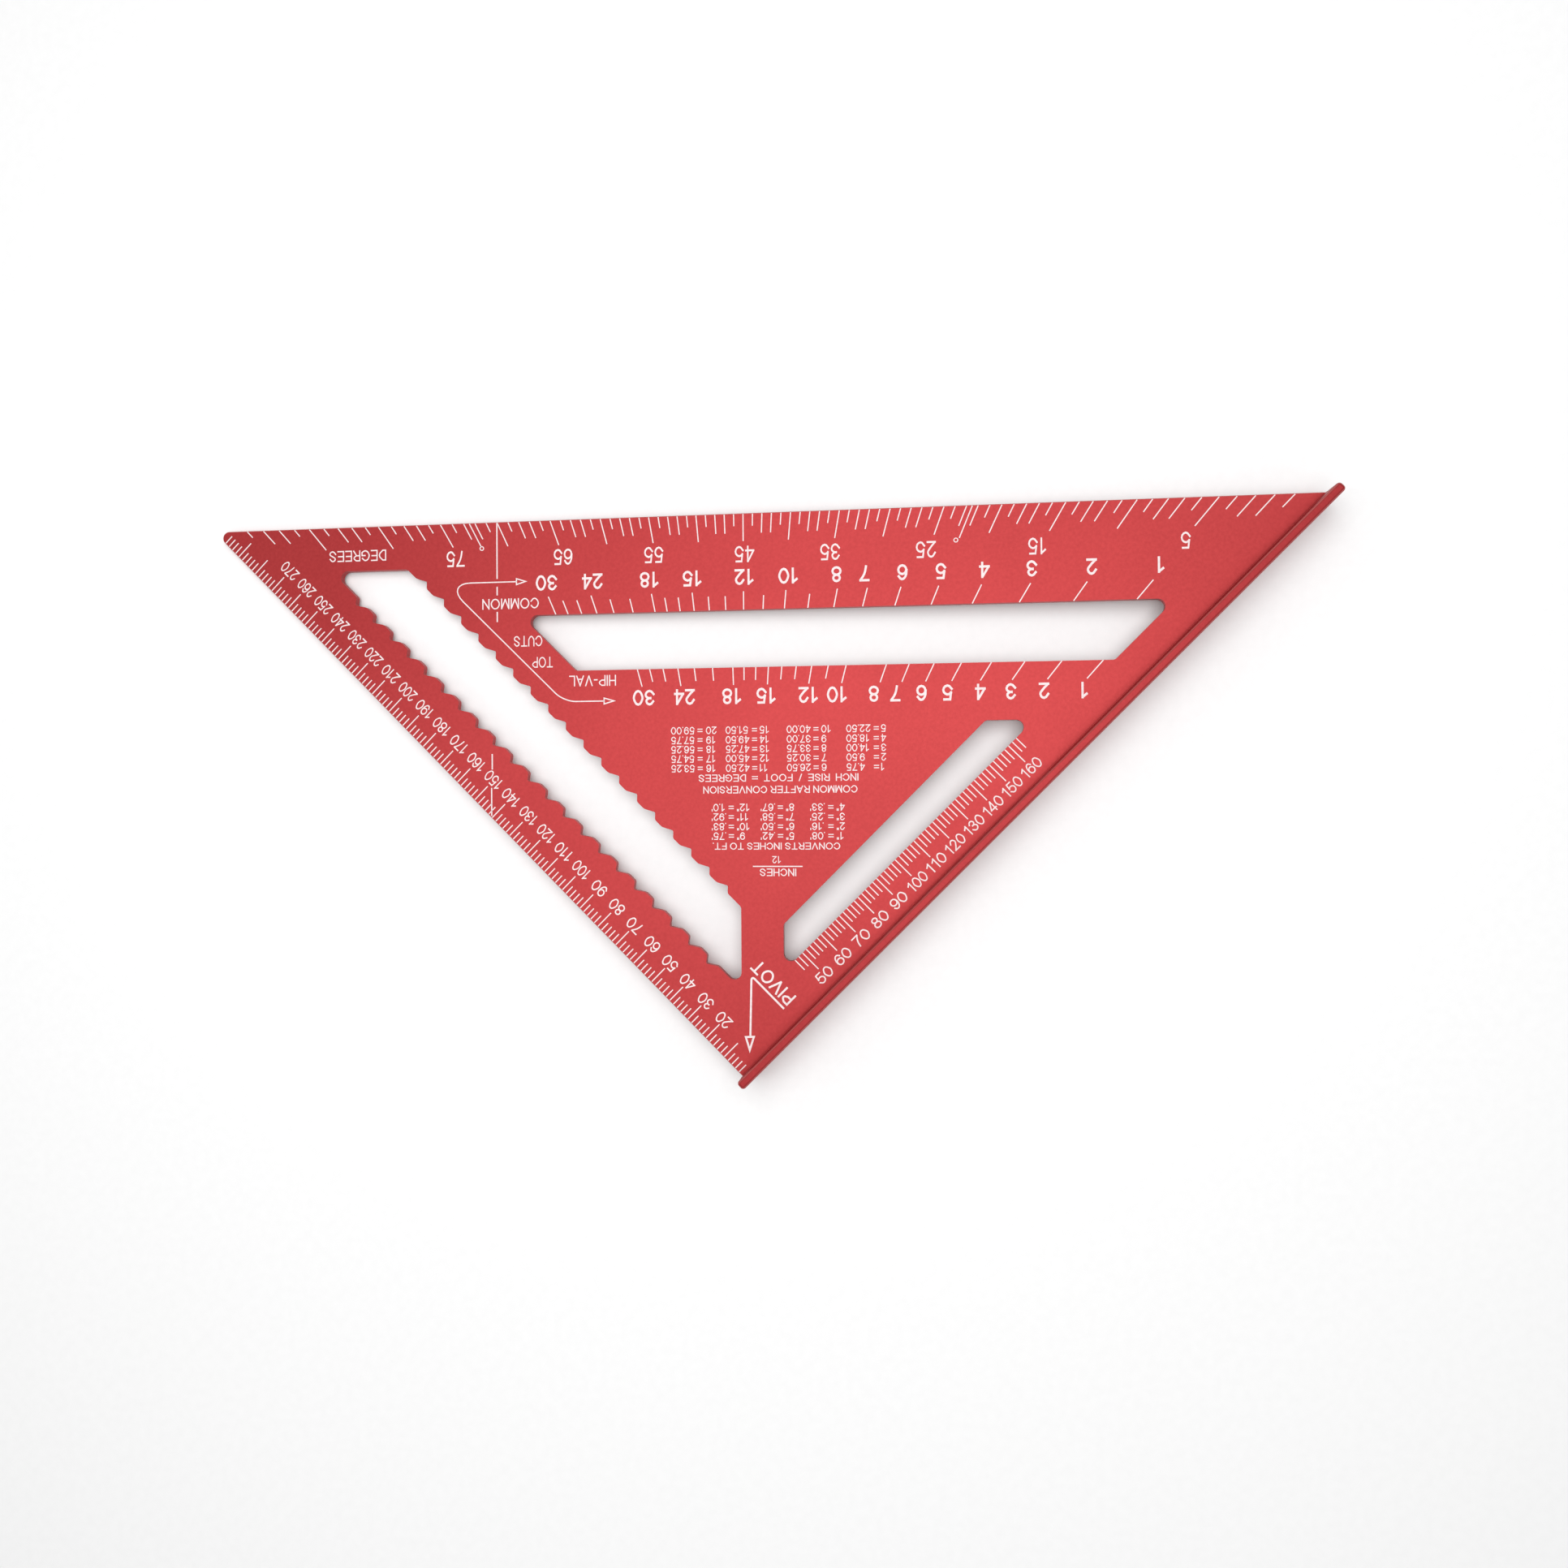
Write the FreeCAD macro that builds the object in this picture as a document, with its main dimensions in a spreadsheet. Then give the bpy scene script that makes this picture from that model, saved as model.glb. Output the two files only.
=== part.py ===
import FreeCAD, Part
import math
import os

import Sketcher

# A rafter square: a flat triangular blade pressed into a T-shaped fence rail.
# Frame: the origin is the pivot corner, on the blade's middle plane. +X runs along the fence,
# +Y runs up the square edge of the blade, and +Z points out of the marked face.

SIZES = {
    # blade
    "leg": 304.8,                 # from the pivot to where the 45 degree edge meets either leg, 12 inches
    "blade_thickness": 3.0,
    "tip_radius": 2.6,            # the far corner of the blade
    "blade_edge_break": 0.3,      # the chamfer round the blade
    "tongue": 2.2,                # how far the blade goes into the fence
    "relief_width": 0.5,          # the relief groove along the root of the fence
    "relief_depth": 0.5,
    # windows
    "window_radius": 2.8,         # the sharp corners of every window
    "elbow_radius": 2.0,          # the blunt corners of every window
    "low_window_bottom": 16.8,    # the window beside the fence
    "low_window_width": 12.7,
    "low_window_start": 39.8,
    "side_window_left": 23.2,     # the window beside the square edge
    "side_window_width": 22.4,
    "low_window_reach": 190.5,    # where the slanted end would meet the fence line
    "side_window_reach": 280.0,
    "mitre_window_inner": 221.1,  # the window beside the 45 degree edge: where its long sides
    "mitre_window_outer": 252.4,  # would meet the fence line
    "mitre_window_left": 64.8,
    "mitre_window_bottom": 11.3,
    # pencil notches along the side window
    "notch_pitch": 10.0,
    "notch_root_radius": 0.7,
    "notch_short_flank": 2.0,     # how far each flank runs along the window. The short one is above
    "notch_long_flank": 4.1,      # the root in the near row, and below it in the far row
    "notch_short_shoulder": 1.5,  # the radius where each flank meets the window's edge
    "notch_long_shoulder": 3.0,
    "near_notch_first": 40.0,     # the near row is the one beside the square edge
    "near_notch_count": 21,
    "near_notch_depth": 2.7,
    "far_notch_first": 55.0,
    "far_notch_count": 18,
    "far_notch_depth": 2.2,
    # fence
    "fence_height": 22.0,
    "fence_width": 3.6,
    "fence_before_pivot": 1.2,    # how far the fence stands out past the blade at each end
    "fence_past_nose": 2.4,
    "fence_end_radius": 1.3,      # the four upright corners
    "fence_crown_radius": 1.1,    # round the top and the bottom
}

TOP = 1
BOTTOM = -1
CUTTER_START = 2.0    # how far inside the window a notch's cutter starts
CUTTER_MARGIN = 1.5   # how far it reaches along the window past each flank

doc = FreeCAD.newDocument("rafter_square")
sheet = doc.addObject("Spreadsheet::Sheet", "Sizes")
for row, (name, value) in enumerate(SIZES.items(), start=1):
    sheet.set("A%d" % row, name)
    sheet.set("B%d" % row, str(value))
    sheet.setAlias("B%d" % row, name)
doc.recompute()


class Length:
    """A length from the sheet: its number now, and the expression that keeps it bound."""

    def __init__(self, number, text):
        self.number = number
        self.text = text

    def __add__(self, other):
        return Length(self.number + other.number, "(%s + %s)" % (self.text, other.text))

    def __sub__(self, other):
        return Length(self.number - other.number, "(%s - %s)" % (self.text, other.text))

    def __mul__(self, factor):
        return Length(self.number * factor, "(%s * %s)" % (self.text, factor))

    def __neg__(self):
        return self * -1


def size(name):
    return Length(float(sheet.get(name)), "Sizes.%s" % name)


def bind(target, prop, length):
    target.setExpression(prop, length.text)


def new_body(name):
    body = doc.addObject("PartDesign::Body", name.capitalize())
    body.Label = name
    return body


def new_sketch(body, name, plane="XY_Plane"):
    sketch = body.newObject("Sketcher::SketchObject", name)
    origin_plane = [item for item in body.Origin.OriginFeatures if item.Role == plane][0]
    sketch.AttachmentSupport = [(origin_plane, "")]
    sketch.MapMode = "FlatFace"
    return sketch


def draw_polygon(sketch, corners):
    """Draws a closed polygon, each corner held by a pair of lengths from the sketch's origin."""
    points = [FreeCAD.Vector(x.number, y.number, 0) for x, y in corners]
    for start, end in zip(points, points[1:] + points[:1]):
        sketch.addGeometry(Part.LineSegment(start, end), False)
    count = len(points)
    for line in range(count):
        sketch.addConstraint(Sketcher.Constraint("Coincident", line, 2, (line + 1) % count, 1))
    for line, corner in enumerate(corners):
        for kind, length in zip(("DistanceX", "DistanceY"), corner):
            index = sketch.addConstraint(Sketcher.Constraint(kind, -1, 1, line, 1, length.number))
            bind(sketch, "Constraints[%d]" % index, length)


def pad(body, sketch, name, length):
    feature = body.newObject("PartDesign::Pad", name)
    feature.Profile = sketch
    feature.Midplane = True
    bind(feature, "Length", length)
    sketch.Visibility = False
    doc.recompute()
    return feature


def cut_through(body, sketch, name):
    """Cuts the sketch right through the body, and stops if nothing was cut."""
    volume_before = body.Shape.Volume
    feature = body.newObject("PartDesign::Pocket", name)
    feature.Profile = sketch
    feature.Type = "ThroughAll"
    feature.Midplane = True
    doc.recompute()
    if body.Shape.Volume > volume_before - 1.0:
        raise RuntimeError("%s cut nothing" % name)
    return feature


def upright_edges(shape, places, tolerance=0.05):
    """Names the edges that run along Z through any of the places."""
    found = []
    for index, edge in enumerate(shape.Edges, start=1):
        start, end = edge.Vertexes[0].Point, edge.Vertexes[-1].Point
        is_upright = math.hypot(start.x - end.x, start.y - end.y) < tolerance
        if is_upright and any(math.hypot(start.x - x, start.y - y) < tolerance for x, y in places):
            found.append("Edge%d" % index)
    return found


def fillet(body, name, places, radius):
    """Rounds the upright edges at the places."""
    base = body.Tip
    edges = upright_edges(base.Shape, [(x.number, y.number) for x, y in places])
    if len(edges) != len(places):
        raise RuntimeError("%s found %d of %d edges" % (name, len(edges), len(places)))
    feature = body.newObject("PartDesign::Fillet", name)
    feature.Base = (base, edges)
    bind(feature, "Radius", radius)
    doc.recompute()
    return feature


# ---- blade: the triangle ----

leg = size("leg")
tongue = size("tongue")
thickness = size("blade_thickness")
zero = leg - leg

blade = new_body("blade")
outline = new_sketch(blade, "BladeOutline")
draw_polygon(outline, [(zero, -tongue), (leg + tongue, -tongue), (zero, leg)])
pad(blade, outline, "BladePlate", thickness)
fillet(blade, "BladeTip", [(zero, leg)], size("tip_radius"))

# ---- blade: the three windows ----

low_bottom = size("low_window_bottom")
low_top = low_bottom + size("low_window_width")
low_start = size("low_window_start")
low_reach = size("low_window_reach")
side_left = size("side_window_left")
side_right = side_left + size("side_window_width")
side_reach = size("side_window_reach")
inner = size("mitre_window_inner")
outer = size("mitre_window_outer")
mitre_left = size("mitre_window_left")
mitre_bottom = size("mitre_window_bottom")

# Each window's corners, in order round it: the sharp pair, then the blunt pair.
WINDOWS = {
    # a trapezium along the fence, one end leaning at 45 degrees each way
    "LowWindow": {
        "sharp": [(low_start, low_bottom), (low_reach - low_bottom, low_bottom)],
        "blunt": [(low_reach - low_top, low_top), (low_start + low_top - low_bottom, low_top)],
    },
    # along the square edge, its lower end on the 45 degree line through the pivot
    "SideWindow": {
        "sharp": [(side_left, side_reach - side_left), (side_left, side_left)],
        "blunt": [(side_right, side_right), (side_right, side_reach - side_right)],
    },
    # along the 45 degree edge, its ends square to the two legs
    "MitreWindow": {
        "sharp": [(mitre_left, outer - mitre_left), (outer - mitre_bottom, mitre_bottom)],
        "blunt": [(inner - mitre_bottom, mitre_bottom), (mitre_left, inner - mitre_left)],
    },
}
for name, corners in WINDOWS.items():
    window = new_sketch(blade, name + "Outline")
    draw_polygon(window, corners["sharp"] + corners["blunt"])
    cut_through(blade, window, name)
fillet(blade, "WindowEnds", [corner for window in WINDOWS.values() for corner in window["sharp"]],
       size("window_radius"))
fillet(blade, "WindowElbows", [corner for window in WINDOWS.values() for corner in window["blunt"]],
       size("elbow_radius"))

# ---- blade: the pencil notches ----


def rounded_edges(points, radii):
    """Joins the points with straight edges, and rounds each one that has a radius."""
    count = len(points)
    starts, ends, middles = [], [], []
    for index, (point, radius) in enumerate(zip(points, radii)):
        before = (points[index - 1] - point).normalize()
        after = (points[(index + 1) % count] - point).normalize()
        half_angle = before.getAngle(after) / 2
        reach = radius / math.tan(half_angle)
        to_centre = (before + after).normalize()
        centre = point + to_centre * (radius / math.sin(half_angle))
        starts.append(point + before * reach)
        ends.append(point + after * reach)
        middles.append(centre - to_centre * radius)
    edges = []
    for index in range(count):
        if radii[index]:
            edges.append(Part.Arc(starts[index], middles[index], ends[index]))
        edges.append(Part.LineSegment(ends[index], starts[(index + 1) % count]))
    return edges


def cut_notches(name, edge_x, into_metal, first, count, depth):
    """Cuts one row of notches: a first V with a rounded root and shoulders, then its pattern."""
    along = -into_metal    # the way along the window in which the short flank lies
    root_y = first.number
    short_y = root_y + size("notch_short_flank").number * along
    long_y = root_y - size("notch_long_flank").number * along
    short_end = short_y + CUTTER_MARGIN * along
    long_end = long_y - CUTTER_MARGIN * along
    corners = [
        (-CUTTER_START * into_metal, long_end, 0),
        (0, long_end, 0),
        (0, long_y, size("notch_long_shoulder").number),
        (depth.number * into_metal, root_y, size("notch_root_radius").number),
        (0, short_y, size("notch_short_shoulder").number),
        (0, short_end, 0),
        (-CUTTER_START * into_metal, short_end, 0),
    ]
    points = [FreeCAD.Vector(edge_x.number + x, y, 0) for x, y, radius in corners]
    notch = new_sketch(blade, name + "Outline")
    for edge in rounded_edges(points, [radius for x, y, radius in corners]):
        notch.addGeometry(edge, False)
    first_notch = cut_through(blade, notch, name)
    pattern = blade.newObject("PartDesign::LinearPattern", name + "Row")
    pattern.Originals = [first_notch]
    pattern.Direction = (notch, ["V_Axis"])
    bind(pattern, "Occurrences", count)
    bind(pattern, "Length", Length(0, "Sizes.notch_pitch * (%s - 1)" % count.text))
    blade.Tip = pattern
    doc.recompute()


cut_notches("NearNotch", side_left, -1, size("near_notch_first"), size("near_notch_count"),
            size("near_notch_depth"))
cut_notches("FarNotch", side_right, 1, size("far_notch_first"), size("far_notch_count"),
            size("far_notch_depth"))

# ---- blade: the relief groove along the fence, on both faces ----

for side, name in ((TOP, "UpperRelief"), (BOTTOM, "LowerRelief")):
    face_z = thickness * (0.5 * side)
    bed_z = face_z - size("relief_depth") * side
    relief = new_sketch(blade, name + "Section", "YZ_Plane")
    draw_polygon(relief, [(zero, bed_z), (size("relief_width"), bed_z),
                          (size("relief_width"), face_z), (zero, face_z)])
    cut_through(blade, relief, name)

# ---- blade: a fine chamfer along its two long free edges ----


def free_face_edges(shape):
    """Names the edges where the square edge and the 45 degree edge meet the two faces."""
    found = []
    half = thickness.number / 2
    for index, edge in enumerate(shape.Edges, start=1):
        middle = edge.CenterOfMass
        on_face = abs(abs(middle.z) - half) < 0.01
        on_square_edge = abs(middle.x) < 0.01
        on_mitre_edge = abs(middle.x + middle.y - leg.number) < 0.01
        if on_face and edge.Length > leg.number / 2 and (on_square_edge or on_mitre_edge):
            found.append("Edge%d" % index)
    return found


chamfer_base = blade.Tip
chamfer = blade.newObject("PartDesign::Chamfer", "BladeEdgeBreak")
chamfer.Base = (chamfer_base, free_face_edges(chamfer_base.Shape))
bind(chamfer, "Size", size("blade_edge_break"))
doc.recompute()

# ---- fence: the T rail ----

width = size("fence_width")
fence_start = -size("fence_before_pivot")
fence_end = leg + size("fence_past_nose")
fence_corners = [(fence_start, -width), (fence_end, -width), (fence_end, zero), (fence_start, zero)]

fence = new_body("fence")
plan = new_sketch(fence, "FencePlan")
draw_polygon(plan, fence_corners)
pad(fence, plan, "FenceRail", size("fence_height"))
fillet(fence, "FenceEndRounds", fence_corners, size("fence_end_radius"))


def crown_edges(shape):
    """Names the edges round the rail's top and bottom."""
    half_height = size("fence_height").number / 2
    found = []
    for index, edge in enumerate(shape.Edges, start=1):
        if abs(abs(edge.CenterOfMass.z) - half_height) < 0.01:
            found.append("Edge%d" % index)
    return found


crown_base = fence.Tip
crown = fence.newObject("PartDesign::Fillet", "FenceCrown")
crown.Base = (crown_base, crown_edges(crown_base.Shape))
bind(crown, "Radius", size("fence_crown_radius"))
doc.recompute()

# the groove that grips the blade's tongue runs the whole length of the rail
groove_section = new_sketch(fence, "GrooveSection", "YZ_Plane")
half_thickness = thickness * 0.5
draw_polygon(groove_section, [(-tongue, -half_thickness), (zero, -half_thickness),
                              (zero, half_thickness), (-tongue, half_thickness)])
cut_through(fence, groove_section, "FenceGroove")

# ---- check and export ----

for item in doc.Objects:
    if "Invalid" in item.State or "Error" in item.State:
        raise RuntimeError("%s is %s" % (item.Label, item.State))

os.makedirs("parts", exist_ok=True)
for piece in (blade, fence):
    shape = piece.Shape
    if shape.isNull() or not shape.isValid() or len(shape.Solids) != 1:
        raise RuntimeError("%s has no sound solid" % piece.Label)
    shape.exportStep("parts/%s.step" % piece.Label)
    box = shape.BoundBox
    print("%s: %.1f x %.1f x %.1f mm, %.0f mm3" % (
        piece.Label, box.XLength, box.YLength, box.ZLength, shape.Volume))
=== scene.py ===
# %% [markdown]
# # A rafter square
# A rafter square is a triangular marking tool for roofers. A flat red blade is pressed into a rail,
# the fence, which hooks over the edge of a board. The metal comes ready made from the CAD model.
# This lesson gives the metal its anodised finish, draws every white scale, number and word on the
# blade, and sets up the floor, the lights and the camera.

# %% Load the metal
import math

import bpy
from mathutils import Matrix, Vector


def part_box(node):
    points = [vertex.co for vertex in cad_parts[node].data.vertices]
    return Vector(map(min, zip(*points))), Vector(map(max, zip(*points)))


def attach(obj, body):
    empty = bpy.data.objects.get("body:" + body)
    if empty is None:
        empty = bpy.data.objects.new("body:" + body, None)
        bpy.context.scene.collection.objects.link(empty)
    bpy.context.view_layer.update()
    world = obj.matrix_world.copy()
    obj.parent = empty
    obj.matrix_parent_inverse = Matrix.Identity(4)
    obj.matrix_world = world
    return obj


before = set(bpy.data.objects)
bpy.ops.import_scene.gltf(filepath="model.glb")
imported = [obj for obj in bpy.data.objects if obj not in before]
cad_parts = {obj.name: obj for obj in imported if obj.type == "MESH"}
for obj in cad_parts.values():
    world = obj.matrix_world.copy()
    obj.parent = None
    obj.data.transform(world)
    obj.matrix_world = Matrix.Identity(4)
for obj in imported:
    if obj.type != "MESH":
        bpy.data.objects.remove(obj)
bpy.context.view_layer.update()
print("CAD nodes:", sorted(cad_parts))

# %% [markdown]
# ## Places on the blade
# All places are in millimetres from the pivot corner and are turned into metres when they are used.
# Scales beside the two legs use x and y. Everything beside the 45 degree edge is easier to read in
# a turned pair: `across` runs along the 45 degree edge, in the direction its words are read, and
# `out` runs straight away from the pivot corner. The blade's own height comes from the CAD box.

# %% Places on the blade
MM = 0.001
LEG = 304.8
BLADE_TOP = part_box("blade")[1].z
FENCE_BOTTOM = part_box("fence")[0].z
EDGE_BREAK = 0.3
MITRE_EDGE = LEG / math.sqrt(2) - EDGE_BREAK

ALONG_FENCE = 0.0
ALONG_LEG = math.radians(90)
ALONG_MITRE = math.radians(135)


def turned(across, out):
    """Turns a place beside the 45 degree edge into x and y."""
    return ((out - across) / math.sqrt(2), (out + across) / math.sqrt(2))


print("blade top at %.2f mm, 45 degree edge at %.1f mm" % (BLADE_TOP / MM, MITRE_EDGE))

# %% [markdown]
# ## The camera
# The tool is seen from close above, with the 45 degree edge at the top of the picture, so the near
# middle of the blade looks larger than its far tips. A short lens held under half a metre away
# gives that. The camera's axes are built from where it stands, what it looks at and which way is
# up in the picture, because a pair of angles can't also hold the roll.

# %% Set the camera
EYE = Vector((127.95, 22.44, 462.06)) * MM
AIM = Vector((90.72, 66.90, 1.5)) * MM
PICTURE_UP = math.radians(44.6)
LENS = 27.95
SENSOR_WIDTH = 36
NEAREST_SEEN = 0.01

bpy.ops.object.select_all(action="DESELECT")
bpy.ops.object.camera_add(location=EYE)
camera = bpy.context.object
camera.name = "camera"
camera.data.sensor_width = SENSOR_WIDTH
camera.data.lens = LENS
camera.data.clip_start = NEAREST_SEEN
look = (AIM - EYE).normalized()
right = look.cross(Vector((math.cos(PICTURE_UP), math.sin(PICTURE_UP), 0))).normalized()
axes = Matrix((right, right.cross(look), -look)).transposed()
camera.matrix_world = Matrix.Translation(EYE) @ axes.to_4x4()
bpy.context.scene.camera = camera
print("the camera is %.0f mm from the blade" % ((AIM - EYE).length / MM))

# %% [markdown]
# ## The floor
# A rafter square laid on a bench rests on the lower edge of its fence and on the far tip of its
# blade, so it leans by under 2 degrees. The metal can't be moved, so the floor leans instead. It
# goes through the fence's lowest line and just under the tip.

# %% Lay the floor
FLOOR_SIZE = 8.0
TIP_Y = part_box("blade")[1].y
BLADE_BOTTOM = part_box("blade")[0].z
TIP_CLEARANCE = 0.0001

lean = math.atan2(BLADE_BOTTOM - TIP_CLEARANCE - FENCE_BOTTOM, TIP_Y)
bpy.ops.object.select_all(action="DESELECT")
bpy.ops.mesh.primitive_plane_add(size=FLOOR_SIZE, location=(0, 0, FENCE_BOTTOM), rotation=(lean, 0, 0))
floor = bpy.context.object
floor.name = "floor"
print("the floor leans %.2f degrees" % math.degrees(lean))

# %% [markdown]
# ## Node helpers
# Every finish is built from procedural nodes. Three helpers start a material, add a node and add a
# colour ramp, so that the cells below read as a recipe.

# %% Node helpers


def start_material(name):
    """Makes a material and returns it with its node tree and its main shader."""
    material = bpy.data.materials.new(name)
    material.use_nodes = True
    return material, material.node_tree, material.node_tree.nodes["Principled BSDF"]


def add_node(tree, kind, **settings):
    """Adds a node; each setting names one of its input sockets, with spaces as underscores."""
    node = tree.nodes.new(kind)
    for name, value in settings.items():
        node.inputs[name.replace("_", " ")].default_value = value
    return node


def add_ramp(tree, factor, stops):
    """Adds a colour ramp with a colour at each stop."""
    ramp = tree.nodes.new("ShaderNodeValToRGB")
    elements = ramp.color_ramp.elements
    elements[0].position, elements[0].color = stops[0][0], (*stops[0][1], 1)
    elements[1].position, elements[1].color = stops[-1][0], (*stops[-1][1], 1)
    for position, color in stops[1:-1]:
        elements.new(position).color = (*color, 1)
    tree.links.new(factor, ramp.inputs["Fac"])
    return ramp


print("node helpers:", ", ".join(helper.__name__ for helper in (start_material, add_node, add_ramp)))

# %% [markdown]
# ## The floor finish
# The floor is plain pale paper. A fine noise moves its brightness by a hair, so the large pale area
# doesn't look computed. It is very rough, so it shows no reflection of the lights.

# %% Floor finish
PAPER_DULL = (0.93, 0.93, 0.93)
PAPER_BRIGHT = (0.95, 0.95, 0.95)

floor_paper, paper_tree, paper = start_material("floor_paper")
paper.inputs["Roughness"].default_value = 0.9
paper.inputs["Specular IOR Level"].default_value = 0.1
place = add_node(paper_tree, "ShaderNodeTexCoord")
fibres = add_node(paper_tree, "ShaderNodeTexNoise", Scale=260.0, Detail=3.0)
paper_tree.links.new(place.outputs["Object"], fibres.inputs["Vector"])
paper_shade = add_ramp(paper_tree, fibres.outputs["Fac"], [(0.3, PAPER_DULL), (0.7, PAPER_BRIGHT)])
paper_tree.links.new(paper_shade.outputs["Color"], paper.inputs["Base Color"])
floor.data.materials.append(floor_paper)
print("floor finish:", floor_paper.name)

# %% [markdown]
# ## The anodised metal
# The blade and the fence are aluminium, bead blasted to a satin and then dyed red in an anodising
# bath. The dye takes slightly unevenly, so a wide soft noise and a fine speckle, mixed together,
# shift the red a little. The blasting leaves a grain of a few tenths of a millimetre, which a finer
# noise gives as bump and as a small spread of roughness. The sloping facets of the edge breaks,
# found by the direction they face, are painted lighter: a painted highlight for the light they
# catch. The metal is a little over half metallic, and the rest is plain colour, so it stays red
# under a white light.

# %% Anodised finish


def anodised(name, deep, bright, edge_highlight):
    """A satin anodised finish between two reds, with a painted highlight on sloping edge facets."""
    material, tree, shader = start_material(name)
    shader.inputs["Metallic"].default_value = 0.55
    place = add_node(tree, "ShaderNodeTexCoord")
    clouds = add_node(tree, "ShaderNodeTexNoise", Scale=9.0, Detail=3.0, Roughness=0.5)
    speckle = add_node(tree, "ShaderNodeTexNoise", Scale=800.0, Detail=2.0, Roughness=0.6)
    grain = add_node(tree, "ShaderNodeTexNoise", Scale=2600.0, Detail=2.0, Roughness=0.6)
    for noise in (clouds, speckle, grain):
        tree.links.new(place.outputs["Object"], noise.inputs["Vector"])
    uneven = add_node(tree, "ShaderNodeMix", Factor=0.45)
    tree.links.new(clouds.outputs["Fac"], uneven.inputs["A"])
    tree.links.new(speckle.outputs["Fac"], uneven.inputs["B"])
    dye = add_ramp(tree, uneven.outputs["Result"], [(0.35, deep), (0.65, bright)])

    facing = add_node(tree, "ShaderNodeSeparateXYZ")
    tree.links.new(place.outputs["Normal"], facing.inputs["Vector"])
    slope = add_node(tree, "ShaderNodeMath")
    slope.operation = "ABSOLUTE"
    tree.links.new(facing.outputs["Z"], slope.inputs[0])
    none, full = (0.0, 0.0, 0.0), (0.7, 0.7, 0.7)
    # Sloping facets of the edge breaks get a painted highlight, picked by the way they face.
    edge_highlight_mask = add_ramp(tree, slope.outputs["Value"], [(0.45, none), (0.65, full), (0.8, full), (0.95, none)])
    red = add_node(tree, "ShaderNodeMix")
    red.data_type = "RGBA"
    red.inputs["B"].default_value = (*edge_highlight, 1)
    tree.links.new(edge_highlight_mask.outputs["Color"], red.inputs["Factor"])
    tree.links.new(dye.outputs["Color"], red.inputs["A"])
    tree.links.new(red.outputs["Result"], shader.inputs["Base Color"])

    satin = add_node(tree, "ShaderNodeMapRange", To_Min=0.4, To_Max=0.52)
    tree.links.new(grain.outputs["Fac"], satin.inputs["Value"])
    tree.links.new(satin.outputs["Result"], shader.inputs["Roughness"])
    bump = add_node(tree, "ShaderNodeBump", Strength=0.2, Distance=0.0001)
    tree.links.new(grain.outputs["Fac"], bump.inputs["Height"])
    tree.links.new(bump.outputs["Normal"], shader.inputs["Normal"])
    return material


DEEP_RED = (0.36, 0.021, 0.023)
BRIGHT_RED = (0.44, 0.032, 0.034)
# The painted highlight colour for the sloping edge facets.
EDGE_HIGHLIGHT_RED = (0.60, 0.15, 0.14)
FENCE_DEEP_RED = (0.29, 0.012, 0.015)
FENCE_BRIGHT_RED = (0.35, 0.019, 0.022)
FINISHES = {
    "blade": anodised("anodised_blade", DEEP_RED, BRIGHT_RED, EDGE_HIGHLIGHT_RED),
    "fence": anodised("anodised_fence", FENCE_DEEP_RED, FENCE_BRIGHT_RED, EDGE_HIGHLIGHT_RED),
}
for node, finish in FINISHES.items():
    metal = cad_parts[node]
    metal.data.materials.clear()
    metal.data.materials.append(finish)
    print(node, "wears", finish.name)

# %% [markdown]
# ## The white fill
# The marks are etched through the dye and filled with white. The fill is matt and a little chalky,
# and some of the red shows through it, so its white is broken up by a fine noise.

# %% White fill
FILL_SHADED = (0.80, 0.64, 0.65)
FILL_CLEAN = (0.88, 0.78, 0.78)

white_fill, fill_tree, fill = start_material("white_fill")
fill.inputs["Roughness"].default_value = 0.6
place = add_node(fill_tree, "ShaderNodeTexCoord")
chalk = add_node(fill_tree, "ShaderNodeTexNoise", Scale=900.0, Detail=3.0, Roughness=0.6)
fill_tree.links.new(place.outputs["Object"], chalk.inputs["Vector"])
fill_shade = add_ramp(fill_tree, chalk.outputs["Fac"], [(0.3, FILL_SHADED), (0.6, FILL_CLEAN)])
fill_tree.links.new(fill_shade.outputs["Color"], fill.inputs["Base Color"])
fill_bump = add_node(fill_tree, "ShaderNodeBump", Strength=0.1, Distance=0.00005)
fill_tree.links.new(chalk.outputs["Fac"], fill_bump.inputs["Height"])
fill_tree.links.new(fill_bump.outputs["Normal"], fill.inputs["Normal"])
print("marks finish:", white_fill.name)

# %% [markdown]
# ## Drawing a mark
# Every mark is a line of even width: a tick, a digit or an arrow. A text object could set the
# words, but the shapes of the built-in font aren't an engraver's: its 1 is a bare bar. So each mark
# starts as a flat curve down the middle of its lines. The curve is made a mesh of bare edges, the
# edges are pulled up into low walls that all face one way, and Solidify thickens each wall to the
# width of the line. One unit of height stands for the thickness of the fill, which is set when the
# mark is placed. Where lines cross, each one is a step lower than the one before, so that no two
# share a plane.

# %% Line forms
SHARP = "VECTOR"
ROUND = "AUTO"
STEP_DOWN = 0.06
CURVE_STEPS = 3
CORNER_STEPS = 8


def bar(*points):
    """Straight runs from point to point."""
    return {"points": [(x, y, SHARP) for x, y in points], "closed": False}


def sweep(*points):
    """A smooth line through the points. A point marked SHARP is a corner in it."""
    return {"points": [(*point, ROUND)[:3] for point in points], "closed": False}


def ring(*points):
    """A smooth line that comes back to its start."""
    return {"points": [(*point, ROUND)[:3] for point in points], "closed": True}


def polygon(*points):
    """Straight runs that come back to their start."""
    return {"points": [(x, y, SHARP) for x, y in points], "closed": True}


print("line forms:", ", ".join(form.__name__ for form in (bar, sweep, ring, polygon)))

# %% Draw a mark


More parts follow.
